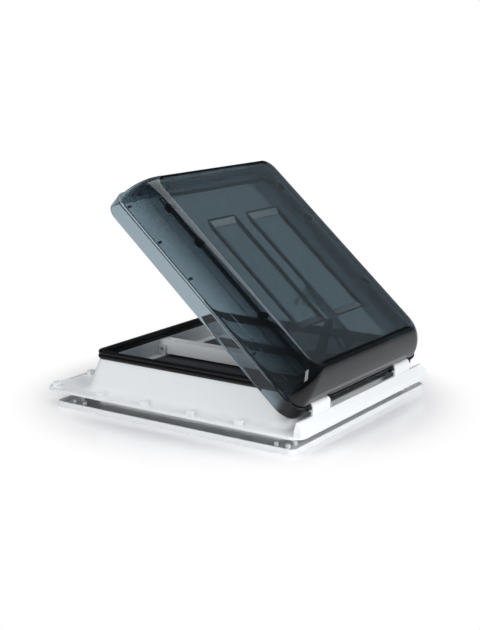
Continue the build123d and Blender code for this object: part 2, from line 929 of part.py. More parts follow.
def make_pane():
    """The inner skin: a tray against the dome's wall with a raised panel and two pockets."""
    low = rim_z + pane_level
    top = low + pane_wall
    tray = tray_body(0, 0) - tray_body(pane_wall, pane_wall)
    edge_x0, edge_x1, edge_half, edge_corner = inside_plan(tray_low, pane_gap + pane_wall)
    tray -= block(
        edge_x0, edge_x1, -edge_half, edge_half, rim_z + tray_low - pane_wall - cut_over, rim_z + tray_low + gap,
        edge_corner,
    )
    x0 = rim_free_x + panel_free_inset
    x1 = rim_hinge_x - panel_hinge_inset
    tray += block(x0, x1, -panel_side, panel_side, top - cut_over, top + panel_rise, panel_corner)
    inner = pane_wall
    tray -= block(
        x0 + inner, x1 - inner, -panel_side + inner, panel_side - inner, low - cut_over, low + panel_rise,
        panel_corner - inner,
    )
    floor = low + pane_wall / 2
    roof = top + panel_rise
    for y0, y1 in ((-pocket_half, divider_low), (divider_high, pocket_half)):
        tray += pocket(y0, y1, floor - pane_wall / 2, roof - pane_wall, pane_wall)
        tray -= pocket(y0, y1, floor + pane_wall / 2, roof + gap, 0)
    for peg in peg_shapes(peg_radius + run_fit):
        tray -= peg
    return opened(tray)


def peg_shapes(radius):
    """Pegs that run inwards from the dome's wall, spaced along the two sides and the ends."""
    x0, x1, half, corner = inside_plan(peg_level, pane_gap - gap)
    z = rim_z + peg_level
    pegs = []
    count = int((x1 - x0 - 2 * corner) / peg_pitch)
    for step in range(count + 1):
        x = (x0 + x1) / 2 + (step - count / 2) * peg_pitch
        for side in (-1, 1):
            y0, y1 = sorted((side * (half - gap), side * (half - gap - peg_reach)))
            pegs.append(axle(x, z, y0, y1, radius))
    count = int(2 * (half - corner) / peg_pitch)
    for step in range(count + 1):
        y = (step - count / 2) * peg_pitch
        for end in (x0 + gap + peg_reach / 2, x1 - gap - peg_reach / 2):
            pegs.append(Pos(end, y, z) * Rot(0, 90, 0) * Cylinder(radius, peg_reach))
    return pegs


def make_pegs():
    return [opened(peg) for peg in peg_shapes(peg_radius)]


def make_pane_clips():
    """Small spring clips over the edge of the raised panel."""
    clips = []
    z0 = rim_z + pane_level + pane_wall
    for share in pane_clip_share:
        x = rim_hinge_x - share * lid_length
        for side in (-1, 1):
            y0, y1 = sorted((side * (panel_side + run_fit), side * (panel_side + pane_clip_depth)))
            clip = block(
                x - pane_clip_length / 2, x + pane_clip_length / 2, y0, y1, z0, z0 + panel_rise + pane_wall
            )
            y2, y3 = sorted((side * (panel_side - pane_clip_depth), side * (panel_side + pane_clip_depth / 2)))
            clip += block(
                x - pane_clip_length / 3, x + pane_clip_length / 3, y2, y3, z0 + panel_rise,
                z0 + panel_rise + pane_wall,
            )
            clips.append(opened(clip))
    return clips


def slot_point(opening):
    """Where the roller's centre lies on the shut lid when the lid stands open by an angle.
    The arm turns arm_ratio times as far as the lid, and the slot follows from that."""
    turn = math.radians(opening)
    arm = math.radians(arm_rest + arm_ratio * (rest_opening - opening))
    x = arm_x + arm_length * math.cos(arm) - hinge_x
    z = arm_z + arm_length * math.sin(arm) - hinge_z
    return (
        hinge_x + x * math.cos(turn) - z * math.sin(turn),
        hinge_z + x * math.sin(turn) + z * math.cos(turn),
    )


def slot_line():
    return [slot_point(full_opening * step / curve_steps) for step in range(curve_steps + 1)]


def slot_band(width, over):
    """A band of a given half width round the slot's curve, run on past both ends."""
    line = slot_line()
    first, last = Vector(*line[0]), Vector(*line[-1])
    start = first + (first - Vector(*line[1])).normalized() * over
    end = last + (last - Vector(*line[-2])).normalized() * over
    line = [(start.X, start.Y)] + line + [(end.X, end.Y)]
    upper, lower = [], []
    for step in range(len(line)):
        a = Vector(*line[max(step - 1, 0)])
        b = Vector(*line[min(step + 1, len(line) - 1)])
        along = (b - a).normalized()
        x, z = line[step]
        upper.append((x - along.Y * width, z + along.X * width))
        lower.append((x + along.Y * width, z - along.X * width))
    return upper, lower


def make_guide_rail():
    """A plate under the pane with the curved slot that the arm's roller runs in."""
    top = rim_z + pane_level + panel_rise
    base_low = top - rail_base_thick
    band = roller_radius + slot_clear + slot_margin
    line = slot_line()
    x_first, x_last = line[0][0] - band, line[-1][0] + band
    edge = [(x_first, line[0][1] - band)] + [(x, z - band) for x, z in line] + [(x_last, line[-1][1] - band)]
    rail = side_plate(
        outline(edge + [(x_last, base_low + run_fit), (x_first, base_low + run_fit)]), -rail_plate_half,
        rail_plate_half,
    )
    rail += block(x_first, x_last, -rail_base_half, rail_base_half, base_low, base_low + rail_base_thick)
    slot_up, slot_down = slot_band(roller_radius + slot_clear, roller_radius)
    rail -= side_plate(outline(slot_up + slot_down[::-1]), -bar_width, bar_width)
    for x, y in rail_screw_places():
        rail -= post(x, y, base_low - cut_over, top + cut_over, cross_screw_radius + run_fit)
    return opened(rail)


def rail_screw_places():
    x1 = slot_point(full_opening)[0] - rail_base_half
    x0 = slot_point(0)[0] + rail_base_half
    side = (rail_plate_half + rail_base_half) / 2
    return [(x, y) for x in (x0, x1) for y in (-side, side)]


def make_rail_screws():
    low = rim_z + pane_level + panel_rise - rail_base_thick
    screws = []
    for x, y in rail_screw_places():
        screw = post(x, y, low - cut_over, low, rail_screw_head)
        screws.append(opened(screw + post(x, y, low, low + rail_base_thick, cross_screw_radius)))
    return screws


rail_screw_head = 2.8


def parts():
    """Every piece by name."""
    made = {
        "roof_frame": make_roof_frame(),
        "roof_gasket": make_gasket(),
        "collar_seal": make_seal(),
        "hinge_rail": make_hinge_rail(),
        "ceiling_frame": make_ceiling_frame(),
        "clamp_screws": make_clamp_screws(),
        "screw_caps": make_screw_caps(),
        "screen_frame": make_screen_frame(),
        "fly_screen": make_net(),
        "clip_screws": make_clip_screws(),
        "crossbar": drill_bar_for_housing(make_crossbar()),
        "saddle_free": make_saddle(-1),
        "saddle_hinge": make_saddle(1),
        "crossbar_screws": make_crossbar_screws(),
        "gear_housing": make_housing(),
        "housing_screws": make_housing_screws(),
        "arm_pivot_pins": make_arm_pins(),
        "lift_arm": make_arm(),
        "gear_sector": make_sector(),
        "slide_roller": make_roller(),
        "roller_pin": make_roller_pin(),
        "pinion_shaft": make_pinion_shaft(),
        "winding_wheel": make_wheel(),
        "wheel_screw": make_wheel_screw(),
        "outer_dome": opened(make_dome()),
        "inner_pane": make_pane(),
        "rim_pegs": make_pegs(),
        "pane_clips": make_pane_clips(),
        "guide_rail": make_guide_rail(),
        "rail_screws": make_rail_screws(),
    }
    for number, (x, y) in enumerate(clip_places(), 1):
        made[f"screen_clip_{number}"] = make_screen_clip(x, y)
    for name, side in (("left", -1), ("right", 1)):
        made[f"hinge_clip_{name}"] = make_hinge_clip(side)
        made[f"hinge_pin_{name}"] = make_hinge_pin(side)
        made[f"lid_knuckles_{name}"] = make_knuckles(side)
    return made


def main():
    os.makedirs("parts", exist_ok=True)
    for name, shape in parts().items():
        solids = []
        for piece in shape if isinstance(shape, list) else [shape]:
            solids += piece.solids()
        export_step(Compound(children=solids), f"parts/{name}.step")


main()
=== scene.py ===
import json
import math

import bpy
import numpy as np
from mathutils import Matrix, Vector


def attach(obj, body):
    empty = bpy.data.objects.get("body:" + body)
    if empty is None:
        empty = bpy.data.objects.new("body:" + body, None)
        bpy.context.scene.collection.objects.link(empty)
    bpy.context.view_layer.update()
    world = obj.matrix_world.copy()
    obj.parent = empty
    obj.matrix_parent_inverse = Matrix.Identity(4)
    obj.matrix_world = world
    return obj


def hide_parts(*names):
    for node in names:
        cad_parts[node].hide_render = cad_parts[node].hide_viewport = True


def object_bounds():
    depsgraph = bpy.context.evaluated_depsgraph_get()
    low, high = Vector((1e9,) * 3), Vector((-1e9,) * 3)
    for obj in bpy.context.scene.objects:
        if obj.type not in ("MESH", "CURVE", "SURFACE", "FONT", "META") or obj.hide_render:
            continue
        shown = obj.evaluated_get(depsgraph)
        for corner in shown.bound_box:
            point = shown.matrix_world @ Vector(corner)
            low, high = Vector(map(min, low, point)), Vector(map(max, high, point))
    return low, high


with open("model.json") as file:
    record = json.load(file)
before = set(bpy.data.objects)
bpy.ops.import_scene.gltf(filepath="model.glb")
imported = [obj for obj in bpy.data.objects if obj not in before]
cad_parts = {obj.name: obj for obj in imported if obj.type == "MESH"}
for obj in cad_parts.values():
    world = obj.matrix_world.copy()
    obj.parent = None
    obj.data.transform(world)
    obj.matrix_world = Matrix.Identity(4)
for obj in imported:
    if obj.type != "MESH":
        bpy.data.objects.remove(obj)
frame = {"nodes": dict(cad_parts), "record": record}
size_start = [list(corner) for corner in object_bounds()]
nodes = frame["nodes"]

# A caravan roof vent.  Shapes are worked out in millimetres and turned to metres in their meshes.
# +X points to the hinge side, +Y away from the camera, and the origin is the centre of the roof cut-out.
# The lid is worked out shut and then turned open.
MM = 0.001
FLOOR_Z = size_start[0][2]

lid_joint = next(joint for joint in frame["record"]["behaviour"]["joints"] if joint["name"] == "lid_hinge")
HINGE = np.array(lid_joint["pos_m"]) / MM
REST_OPENING = math.radians(-lid_joint["range_deg"][0])

# Lid, seen shut: its rim and its highest level
RIM_DROP = 21.04
RIM_BEYOND_HINGE = 0.28
LID_LENGTH = 487.0
LID_HALF = 228.0
LID_HEIGHT = 85.0
RIM_CORNER = 32.0
SKIRT = 28.0
WALL = 3.0
RIM_Z = HINGE[2] - RIM_DROP
RIM_HINGE_X = HINGE[0] + RIM_BEYOND_HINGE
RIM_FREE_X = RIM_HINGE_X - LID_LENGTH
CREST_Z = RIM_Z + LID_HEIGHT

# Skirt and groove, from the rim up: inset from the lid's outline and height over the rim
OUTER_SKIRT = (
    (1.0, 0.0), (0.35, 0.15), (0.0, 0.9), (0.0, 6.0), (0.0, 16.5), (0.0, 25.6), (0.0, 26.6),
    (0.15, 27.3), (0.6, 27.8), (1.2, 28.0), (2.2, 28.05), (2.9, 28.3), (3.3, 28.9),
)
INNER_SKIRT = (
    (3.0, 0.0), (3.0, 0.4), (3.0, 0.9), (3.0, 6.0), (3.0, 16.5), (3.0, 23.4), (3.0, 24.0),
    (3.2, 24.6), (3.8, 25.0), (4.6, 25.1), (5.6, 25.2), (6.1, 25.6), (6.4, 26.4),
)

# Sides over the groove: insets at the crest, and the power that rounds their section
GROOVE_STEP = 3.5
CREST_SIDE = 46.0
CREST_HINGE = 37.0
CREST_FREE = 24.0
CREST_CORNER = 22.0
CREST_POWER = 1.5
CREST_FIRST_ANGLE = 0.16
CREST_ROWS = 30
TOP_SHARES = (0.97, 0.9, 0.78, 0.6, 0.4, 0.2, 0.05)

# Hinge side: notches round the clips over the whole skirt, and windows round the eyes in one row, which
# is an index in OUTER_SKIRT.  Both are spans of Y on each side of the middle.
CLIP_Y = 150.0
NOTCH_HALF = 29.5
EYE_WINDOW_HALF = 37.7
NOTCH = (CLIP_Y - NOTCH_HALF, CLIP_Y + NOTCH_HALF)
EYE_WINDOW = (CLIP_Y - EYE_WINDOW_HALF, CLIP_Y + EYE_WINDOW_HALF)
EYE_ROW = 4

# Steps round the lid.  Some of those along the hinge side, counted from its ends, are moved onto the edges
# of the windows and notches, and two places within SAME count as one.
SIDE_STEPS = 26
CORNER_STEPS = 18
EDGE_STEPS = np.array([5, 4, 1, 0])
SAME = 0.01

# Panel and pockets of the inner skin: insets from the rim's free and hinge ends, Y spans, and the widths of
# the painted shade lines along their edges, which stand in for the darkening that refraction gives acrylic at
# a moulded edge
PANEL_INSETS = (52, 47)
PANEL_X = (RIM_FREE_X + PANEL_INSETS[0], RIM_HINGE_X - PANEL_INSETS[1])
PANEL_Y = (-176, 176)
PANEL_EDGE_SHADE = 2.4
POCKET_INSETS = (121, 117)
POCKET_X = (RIM_FREE_X + POCKET_INSETS[0], RIM_HINGE_X - POCKET_INSETS[1])
POCKET_YS = ((-111, -32), (11, 111))
POCKET_EDGE_SHADE = 2.6
POCKET_SLOPE = 13
POCKET_FLOOR_EDGE_SHADE = 1.6
# Painted shade lines along the moulded edges: their dark core's share and their colour
EDGE_SHADE_CORE_SHARE = 0.4
EDGE_SHADE_COLOUR = "0B0F12"

# Where the tint changes on the shut lid, and what the acrylic gains or loses there.  The changes of tint are
# painted shade: the outer skin darkens up its sides towards the crest and both skins darken at the hinge
# wall, in place of the real dome's dark reflections and the dark inside seen through it.  The top turns back
# to a clearer tint, and the pockets' ends get a painted highlight.
SIDE_END_DROP = 8
TOP_START_DROP = 0.6
TOP_END_DROP = 0.2
SIDE_SHADE_Z = (RIM_Z + SKIRT, CREST_Z - SIDE_END_DROP)
OUTER_TOP_Z = (CREST_Z - TOP_START_DROP, CREST_Z - TOP_END_DROP)
OUTER_HINGE_SHADE_X = (196, 216)
OUTER_DULL_X = (190, 215)
INNER_HINGE_SHADE_X = (210, 232)
GLOSS = 0.5
GLOSS_LOST = 0.46
FROST_ROUGHNESS = 0.25
FROST_AND_GLINT_FADE = (0, 1)

# Fly screen: the net's plane and the window for the gear housing
NET_HALF = 170.2
NET_TOP = 28.2
NET_THICK = 0.8
NET_PITCH = 1.6
WINDOW_X = 112.0
WINDOW_Y = (-30.0, 17.0)


# Materials

def linear(hex_colour):
    """sRGB hex to linear RGBA."""
    values = [int(hex_colour[i:i + 2], 16) / 255 for i in (0, 2, 4)]
    return [v / 12.92 if v <= 0.04045 else ((v + 0.055) / 1.055) ** 2.4 for v in values] + [1.0]


def add(owner, kind, sockets=None, **settings):
    """Add a node to a material or the world.  Its sockets are given by place and its settings by name,
    and another node's output is linked."""
    node = owner.node_tree.nodes.new(kind)
    inputs = dict(sockets or {})
    for key, value in settings.items():
        name = key.replace("_", " ")
        if name in node.inputs:
            inputs[name] = value
        else:
            setattr(node, key, value)
    for place, value in inputs.items():
        if isinstance(value, bpy.types.NodeSocket):
            owner.node_tree.links.new(node.inputs[place], value)
        else:
            node.inputs[place].default_value = value
    return node


def empty_material(name):
    """A material without the nodes that Blender starts it with."""
    material = bpy.data.materials.new(name)
    material.use_nodes = True
    material.node_tree.nodes.clear()
    return material


CLOUD_SIZE = 45.45
GRAIN_HEIGHT = 0.2


def opaque(name, colour, roughness, mottle=0.04, grain=0.8, bump=0.1, weave=None, **extra):
    """A solid material.  Its colour varies by the mottle's share in soft clouds, and a grain in mm gives the
    surface.  With weave, a hole's colour and a pitch in mm, its colour is that of crossed threads instead."""
    material = empty_material(name)
    place = add(material, "ShaderNodeTexCoord").outputs["Object"]
    if weave:
        hole, pitch = weave
        # At scale 1 the bands are pi / 10 units apart
        bands = [add(material, "ShaderNodeTexWave", wave_type="BANDS", bands_direction=direction,
                     Vector=place, Scale=math.pi / 10 / (pitch * MM)) for direction in ("X", "Y")]
        share = add(material, "ShaderNodeMath", {0: bands[0].outputs["Fac"], 1: bands[1].outputs["Fac"]},
                    operation="MAXIMUM").outputs[0]
        dark = linear(hole)
    else:
        share = add(material, "ShaderNodeTexNoise", Vector=place, Scale=1 / (CLOUD_SIZE * MM),
                    Detail=3.0).outputs["Fac"]
        dark = [c * (1 - mottle) for c in linear(colour)[:3]] + [1]
    base = add(material, "ShaderNodeMix", {0: share, 6: dark, 7: linear(colour)}, data_type="RGBA")
    fine = add(material, "ShaderNodeTexNoise", Vector=place, Scale=1 / (grain * MM), Detail=2.0)
    relief = add(material, "ShaderNodeBump", Height=fine.outputs["Fac"], Strength=bump,
                 Distance=GRAIN_HEIGHT * MM)
    shader = add(material, "ShaderNodeBsdfPrincipled", Base_Color=base.outputs[2],
                 Normal=relief.outputs["Normal"], Roughness=roughness, **extra)
    add(material, "ShaderNodeOutputMaterial", Surface=shader.outputs[0])
    return material


def way_along(material, distance, span):
    """How far a distance has come along a span in mm, eased at both ends: 0 before it and 1 beyond it."""
    low, high = span
    return add(material, "ShaderNodeMapRange", {0: distance, 1: low * MM, 2: high * MM},
               interpolation_type="SMOOTHSTEP").outputs[0]


def paint_shade_along(material, tint_and_shade, distance, span, colour):
    """The tint, turned to a colour along a span of a distance.  Every use paints shade onto the acrylic, or
    paints it back to a clearer tint.
    """
    share = way_along(material, distance, span)
    mix = add(material, "ShaderNodeMix", {0: share, 6: tint_and_shade, 7: linear(colour)}, data_type="RGBA")
    return mix.outputs[2]


def depth_inside(material, shut, **spans):
    """How deep a place lies inside a box: the least distance to its sides, negative outside."""
    sides = []
    for axis, (low, high) in spans.items():
        sides.append(add(material, "ShaderNodeMath", {0: shut[axis], 1: low * MM}, operation="SUBTRACT"))
        sides.append(add(material, "ShaderNodeMath", {0: high * MM, 1: shut[axis]}, operation="SUBTRACT"))
    nearest = sides[0]
    for side in sides[1:]:
        both = {0: nearest.outputs[0], 1: side.outputs[0]}
        nearest = add(material, "ShaderNodeMath", both, operation="MINIMUM")
    return nearest.outputs[0]


def edge_shade_painted(material, tint_and_shade, depth, width):
    """The tint, with shade painted for a width on both sides of the line where the depth is nought: a dark
    line standing in for the darkening that refraction gives acrylic seen along a moulded edge."""
    # Painted shade: a dark line along the moulded edge
    off = add(material, "ShaderNodeMath", {0: depth}, operation="ABSOLUTE").outputs[0]
    return paint_shade_along(material, tint_and_shade, off, (width, EDGE_SHADE_CORE_SHARE * width), EDGE_SHADE_COLOUR)


def outer_tint_and_painted_shade(material, shut, colour, roughness):
    """Painted shade: the tint darkens up the sides over the skirt towards the crest and goes near black at
    the hinge wall, where the gloss is weaker too, and turns clearer on the flat top.  The dark places stand
    in for the dome's dark reflections and the dark inside seen through it.
    """
    # Painted shade: darker up the sides towards the crest, clearer again on the top, near black at the hinge
    # wall
    tint_and_shade = paint_shade_along(material, linear(colour), shut["Z"], SIDE_SHADE_Z, "4C5860")
    tint_and_shade = paint_shade_along(material, tint_and_shade, shut["Z"], OUTER_TOP_Z, "8C9CA3")
    tint_and_shade = paint_shade_along(material, tint_and_shade, shut["X"], OUTER_HINGE_SHADE_X, "151C22")
    wall = way_along(material, shut["X"], OUTER_DULL_X)
    less = add(material, "ShaderNodeMath", {0: wall, 1: GLOSS_LOST}, operation="MULTIPLY").outputs[0]
    gloss = add(material, "ShaderNodeMath", {0: GLOSS, 1: less}, operation="SUBTRACT").outputs[0]
    return {"Base_Color": tint_and_shade, "Roughness": roughness, "Specular_IOR_Level": gloss}


def inner_tint_with_painted_shade_and_glints(material, shut, colour, roughness):
    """Painted shade: darker at the hinge wall, and dark lines painted along the moulded edges of the panel
    and its pockets.  The pockets' sloping ends are frosted and tinted clear, a painted highlight standing in
    for their glints.  They lie inside a pocket's outline, beyond the ends of its floor."""
    # Painted shade at the hinge wall, then dark lines painted along the moulded edges
    tint_and_shade = paint_shade_along(material, linear(colour), shut["X"], INNER_HINGE_SHADE_X, "5A666D")
    tint_and_shade = edge_shade_painted(material, tint_and_shade, depth_inside(material, shut, X=PANEL_X, Y=PANEL_Y), PANEL_EDGE_SHADE)
    floor_x = (POCKET_X[0] + POCKET_SLOPE, POCKET_X[1] - POCKET_SLOPE)
    frost_and_glint = 0.0
    for pocket_y in POCKET_YS:
        depth = depth_inside(material, shut, X=POCKET_X, Y=pocket_y)
        tint_and_shade = edge_shade_painted(material, tint_and_shade, depth, POCKET_EDGE_SHADE)
        inside = way_along(material, depth, FROST_AND_GLINT_FADE)
        over_floor = way_along(material, depth_inside(material, shut, X=floor_x), FROST_AND_GLINT_FADE)
        ends = add(material, "ShaderNodeMath", {0: inside, 1: over_floor}, operation="SUBTRACT").outputs[0]
        frost_and_glint = add(material, "ShaderNodeMath", {0: frost_and_glint, 1: ends}, operation="MAXIMUM").outputs[0]
    for pocket_y in POCKET_YS:
        depth = depth_inside(material, shut, X=floor_x, Y=pocket_y)
        tint_and_shade = edge_shade_painted(material, tint_and_shade, depth, POCKET_FLOOR_EDGE_SHADE)
    # Painted highlight: the pockets' sloping ends are tinted clear white to stand in for their glints, and
    # the same mask makes them rougher as frost
    tint_and_shade = add(material, "ShaderNodeMix", {0: frost_and_glint, 6: tint_and_shade, 7: linear("FFFFFF")}, data_type="RGBA")
    rougher = add(material, "ShaderNodeMath", {0: frost_and_glint, 1: FROST_ROUGHNESS}, operation="MULTIPLY").outputs[0]
    whole = add(material, "ShaderNodeMath", {0: rougher, 1: roughness}, operation="ADD").outputs[0]
    return {"Base_Color": tint_and_shade.outputs[2], "Roughness": whole}


MOULDING_WAVE = 71.43
WAVE_HEIGHT = 2.0


def smoked(name, colour, roughness, look):
    """Clear tinted acrylic with faint moulding waves.  Its look reads places of the shut lid, found by
    turning Object coordinates back about the hinge, and gives the shader's sockets that differ by place."""
    material = empty_material(name)
    place = add(material, "ShaderNodeTexCoord").outputs["Object"]
    wave = add(material, "ShaderNodeTexNoise", Vector=place, Scale=1 / (MOULDING_WAVE * MM), Detail=1.0)
    relief = add(material, "ShaderNodeBump", Height=wave.outputs["Fac"], Strength=0.06,
                 Distance=WAVE_HEIGHT * MM)
    back = add(material, "ShaderNodeVectorRotate", rotation_type="AXIS_ANGLE", Vector=place,
               Center=(HINGE * MM).tolist(), Axis=(0, 1, 0), Angle=-REST_OPENING)
    shut = add(material, "ShaderNodeSeparateXYZ", Vector=back.outputs[0]).outputs
    shader = add(material, "ShaderNodeBsdfPrincipled", Normal=relief.outputs["Normal"], IOR=1.49,
                 Transmission_Weight=1.0, **look(material, shut, colour, roughness))
    add(material, "ShaderNodeOutputMaterial", Surface=shader.outputs[0])
    return material


# Moulded ABS: clean white with a soft sheen
WHITE = opaque("white ABS", "EEF1F3", 0.34, IOR=1.53, mottle=0.03, grain=0.9)
# Extruded rubber: deep black, nearly matt, slightly cloudy
RUBBER = opaque("black EPDM rubber", "07080A", 0.55, IOR=1.52, mottle=0.25, grain=0.6, bump=0.2)
# Foam tape: matt black with open grain
FOAM = opaque("black closed-cell foam", "08090A", 0.9, IOR=1.45, mottle=0.35, grain=0.9, bump=0.6)
# Moulded nylon: black with a dull gloss
NYLON = opaque("black moulded nylon", "08090B", 0.38, IOR=1.53, mottle=0.2, grain=0.7, bump=0.15)
# Turned acetal: waxy off-white
ACETAL = opaque("white acetal", "E6E6E0", 0.3, IOR=1.48)
# Plated steel: pale metal with soft reflections
STEEL = opaque("zinc-plated steel", "B9BBBD", 0.32, Metallic=1.0, mottle=0.12, grain=0.5)
# Moulded ABS, as on the screen's frame: dark grey and satin
GREY = opaque("dark grey ABS", "3A3F43", 0.45, IOR=1.53, mottle=0.1)
# Woven net: matt grey threads over dark holes, a little coarser than a real mesh so that it shows
MESH_CLOTH = opaque("coated glass-fibre net, fine mesh", "3A3D42", 0.7, IOR=1.5, weave=("15171A", NET_PITCH))
# Cast acrylic: blue-grey and clear, with sharp reflections
# The outer skin's tint carries painted shade along its sides and at its hinge wall
OUTER = smoked("smoked acrylic, outer skin", "95A5AE", 0.02, outer_tint_and_painted_shade)
# The inner skin's tint carries painted shade at its hinge wall and along its moulded edges, and a painted
# highlight on its pockets' ends
INNER = smoked("smoked acrylic, inner skin", "B3BFC4", 0.04, inner_tint_with_painted_shade_and_glints)

# The outer skin's own look goes on the piece that replaces outer_dome
FINISH = {
    "white_abs": WHITE, "smoked_acrylic": INNER, "black_rubber": RUBBER, "black_foam": FOAM,
    "black_nylon": NYLON, "white_acetal": ACETAL, "steel": STEEL, "grey_plastic": GREY,
    "grey_net": MESH_CLOTH,
}
for entry in frame["record"]["subparts"]:
    slots = nodes[entry["node"]].data.materials
    slots.clear()
    slots.append(FINISH[entry["material_slot"]])


# Surfaces

def build(name, points, faces, material, rounded=0):
    """A mesh object from points in mm and faces as lists of indices, of which the rounded first ones are
    shaded smooth."""
    mesh = bpy.data.meshes.new(name)
    mesh.from_pydata((points * MM).tolist(), [], faces)
    mesh.validate()
    mesh.polygons.foreach_set("use_smooth", [k < rounded for k in range(len(faces))])
    mesh.materials.append(material)
    obj = bpy.data.objects.new(name, mesh)
    bpy.context.scene.collection.objects.link(obj)
    return obj


def shell_faces(gone, capped=False):
    """Faces over two like grids of points, the front one and then the one behind it, whose rows close round.
    Gone has a flag for each cell of a grid.  The other cells are kept on both, and walls join the grids along
    every edge that is left open.  Capped closes the last row.  Gives the faces and how many aren't walls."""
    columns = gone.shape[1]
    half = gone.size + columns
    here = np.arange(half).reshape(-1, columns)
    ahead = np.roll(here, -1, 1)
    cells = np.stack([here[:-1], ahead[:-1], ahead[1:], here[1:]], -1)[~gone]
    faces = np.concatenate([cells, cells[:, ::-1] + half]).tolist()
    if capped:
        faces += [here[-1].tolist(), (here[-1, ::-1] + half).tolist()]

    open_below = np.concatenate([np.full((1, columns), True), gone[:-1]])
    open_above = np.concatenate([gone[1:], np.full((1, columns), not capped)])
    edges = [
        np.stack([ahead[1:], here[1:]], -1)[~gone & open_above],
        np.stack([here[:-1], ahead[:-1]], -1)[~gone & open_below],
        np.stack([ahead[:-1], ahead[1:]], -1)[~gone & np.roll(gone, -1, 1)],
        np.stack([here[1:], here[:-1]], -1)[~gone & np.roll(gone, 1, 1)],
    ]
    a, b = np.concatenate(edges).T
    walls = np.stack([b, a, a + half, b + half], -1).tolist()
    return faces + walls, len(faces)


def ring_steps(on_hinge_side):
    """Shares of the way along a straight side, even but for the hinge side, where the columns next to the
    notches and eye windows are moved onto their edges.  The shares are the same at every height, so the
    columns don't cross on the way up."""
    steps = np.linspace(0, 1, SIDE_STEPS + 1)[1:-1]
    if on_hinge_side:
        edges = np.array([EYE_WINDOW[0], NOTCH[0], NOTCH[1], EYE_WINDOW[1]])
        share = edges / (2 * (LID_HALF - RIM_CORNER))
        steps[EDGE_STEPS] = 0.5 - share
        steps[-1 - EDGE_STEPS] = 0.5 + share
    return steps


def lid_ring(side, hinge, free, corner, height):
    """The lid's outline at a height over the rim, moved in by an inset for each side: a rounded rectangle,
    anticlockwise, with a quarter turn r (cos t, sin t) at each corner and steps along each side."""
    x0, x1, half = RIM_FREE_X + free, RIM_HINGE_X - hinge, LID_HALF - side
    centres = np.array([(x1 - corner, half - corner), (x0 + corner, half - corner),
                        (x0 + corner, -half + corner), (x1 - corner, -half + corner)])
    ring = []
    for k, centre in enumerate(centres):
        t = (k + np.linspace(0, 1, CORNER_STEPS + 1)) * np.pi / 2
        arc = centre + corner * np.stack([np.cos(t), np.sin(t)], -1)
        end = centres[(k + 1) % 4] + corner * np.array([np.cos(t[-1]), np.sin(t[-1])])
        ring += [arc, arc[-1] + (end - arc[-1]) * ring_steps(k == 3)[:, None]]
    flat = np.concatenate(ring)
    return np.concatenate([flat, np.full((len(flat), 1), RIM_Z + height)], 1)


def skirt_rings(profile):
    """One ring for each inset and height of a profile."""
    return [lid_ring(inset, inset, inset, RIM_CORNER - inset, height) for inset, height in profile]


def opened(points):
    """Points of the shut lid, turned about the hinge axis to the rest opening."""
    p = points - HINGE
    c, s = math.cos(REST_OPENING), math.sin(REST_OPENING)
    return np.stack([p[:, 0] * c + p[:, 2] * s, p[:, 1], -p[:, 0] * s + p[:, 2] * c], -1) + HINGE


def grid_normals(grid):
    """Unit normals of a (rows, columns, 3) grid that closes along its columns."""
    across = np.roll(grid, -1, 1) - np.roll(grid, 1, 1)
    normal = np.cross(across, np.gradient(grid, axis=0))
    return normal / np.maximum(np.linalg.norm(normal, axis=-1, keepdims=True), 1e-9)


def skin_grids():
    """Both faces of the outer skin, as two grids of rings from the rim to the middle of the top.
    Over the skirt every side follows a superellipse: rise = h sin(t)^(2/p), share = 1 - cos(t)^(2/p),
    inset = step + (crest - step) share.  The top is the crest ring drawn in to its middle.
    The inner face is the outer one moved in by the wall along its normals, but for its own skirt."""
    rings = skirt_rings(OUTER_SKIRT)
    t = np.linspace(CREST_FIRST_ANGLE, math.pi / 2, CREST_ROWS)
    rise = np.sin(t) ** (2 / CREST_POWER)
    share = 1 - np.cos(t) ** (2 / CREST_POWER)
    for up, inward in zip(rise, share):
        side, hinge, free = [GROOVE_STEP + (crest - GROOVE_STEP) * inward
                             for crest in (CREST_SIDE, CREST_HINGE, CREST_FREE)]
        step_corner = RIM_CORNER - GROOVE_STEP
        corner = step_corner + (CREST_CORNER - step_corner) * inward
        rings.append(lid_ring(side, hinge, free, corner, SKIRT + (LID_HEIGHT - SKIRT) * up))
    crest = rings[-1]
    middle = np.array([crest[:, 0].mean(), 0, crest[0, 2]])
    rings += [middle + (crest - middle) * [left, left, 1] for left in TOP_SHARES]
    outer = np.stack(rings)
    normals = grid_normals(outer)
    normals[-len(TOP_SHARES) - 1:] = [0, 0, 1]
    inner = outer - normals * WALL
    inner[:len(INNER_SKIRT)] = skirt_rings(INNER_SKIRT)
    return outer, inner


def hinge_side_cells(rim, span):
    """Which columns of the rim's ring start a cell of the hinge side inside a span from the middle."""
    y = abs(rim[:, 1])
    held = (rim[:, 0] > RIM_HINGE_X - WALL) & (y > span[0] - SAME) & (y < span[1] + SAME)
    return held & np.roll(held, -1)


def make_dome():
    """The outer skin: both of its faces, less the cells of the notches and eye windows."""
    outer, inner = skin_grids()
    gone = np.zeros((len(outer) - 1, outer.shape[1]), bool)
    gone[:len(OUTER_SKIRT) - 1] = hinge_side_cells(outer[0], NOTCH)
    gone[EYE_ROW] = hinge_side_cells(outer[0], EYE_WINDOW)
    faces, rounded = shell_faces(gone, capped=True)
    return build("outer_dome_skin", opened(np.stack([outer, inner]).reshape(-1, 3)), faces, OUTER, rounded)


